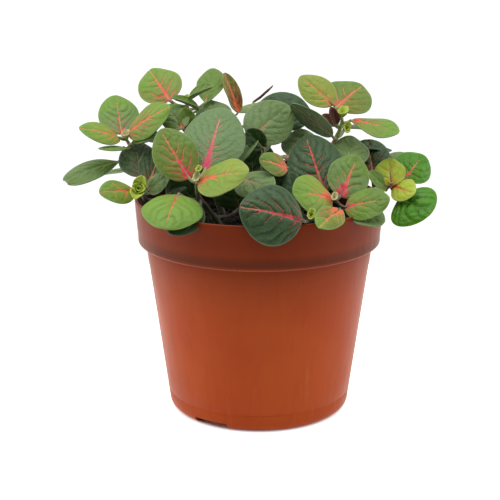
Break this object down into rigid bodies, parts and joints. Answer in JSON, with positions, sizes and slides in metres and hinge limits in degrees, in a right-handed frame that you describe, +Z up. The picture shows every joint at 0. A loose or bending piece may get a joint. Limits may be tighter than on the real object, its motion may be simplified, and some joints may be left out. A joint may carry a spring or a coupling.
{
  "type": "potted nerve plant",
  "caption": "Potted nerve plant: branching shoots with broad oval green leaves and pink veins, growing from dark soil in a round terracotta-coloured plastic grower's pot.",
  "frame": {"origin": "centre of the pot's flat base, on the surface it stands on", "axes": "+Z up along the pot's axis, -Y towards the front of the plant, +X to the right seen from the front"},
  "size_m": [0.1773, 0.1466, 0.1628],
  "materials": {
    "pot": "satin",
    "soil": "matte",
    "stem": "matte",
    "leaf_bud": "matte",
    "leaf_young": "matte",
    "leaf_fresh": "matte",
    "leaf_mid": "matte",
    "leaf_old": "matte",
    "leaf_dark": "matte",
    "leaf_red": "matte"
  },
  "bodies": {
    "root": {"leaf_back_1": "leaf_mid", "leaf_back_10": "leaf_dark", "leaf_back_2": "leaf_dark", "leaf_back_3": "leaf_mid", "leaf_back_4": "leaf_dark", "leaf_back_5": "leaf_mid", "leaf_back_6": "leaf_mid", "leaf_back_7": "leaf_fresh", "leaf_back_8": "leaf_fresh", "leaf_back_9": "leaf_mid", "leaf_far_left": "leaf_old", "leaf_far_right_1": "leaf_bud", "leaf_far_right_2": "leaf_bud", "leaf_far_right_3": "leaf_dark", "leaf_far_right_4": "leaf_fresh", "leaf_far_right_5": "leaf_fresh", "leaf_front_left_1": "leaf_old", "leaf_front_left_2": "leaf_mid", "leaf_front_left_3": "leaf_young", "leaf_front_left_4": "leaf_fresh", "leaf_front_left_5": "leaf_dark", "leaf_front_right_1": "leaf_dark", "leaf_front_right_2": "leaf_mid", "leaf_front_right_3": "leaf_fresh", "leaf_front_right_4": "leaf_mid", "leaf_front_right_5": "leaf_red", "leaf_front_right_6": "leaf_old", "leaf_front_right_7": "leaf_old", "leaf_front_right_8": "leaf_dark", "leaf_left_1": "leaf_mid", "leaf_left_2": "leaf_young", "leaf_left_3": "leaf_young", "leaf_low_left_1": "leaf_mid", "leaf_low_left_2": "leaf_dark", "leaf_low_left_3": "leaf_dark", "leaf_low_left_4": "leaf_old", "leaf_middle_1": "leaf_old", "leaf_middle_2": "leaf_dark", "leaf_middle_3": "leaf_young", "leaf_middle_4": "leaf_old", "leaf_rim_front": "leaf_dark", "leaf_upper_left_1": "leaf_young", "leaf_upper_left_2": "leaf_mid", "leaf_upper_left_3": "leaf_red", "leaf_upper_left_4": "leaf_mid", "leaf_upper_left_5": "leaf_old", "leaf_upper_right_1": "leaf_mid", "leaf_upper_right_2": "leaf_young", "leaf_upper_right_3": "leaf_young", "leaf_upper_right_4": "leaf_old", "pot": "pot", "soil": "soil", "stem_back": "stem", "stem_far_right": "stem", "stem_front_left": "stem", "stem_front_right": "stem", "stem_left": "stem", "stem_middle": "stem", "stem_upper_left": "stem", "stem_upper_right": "stem"}
  },
  "joints": []
}
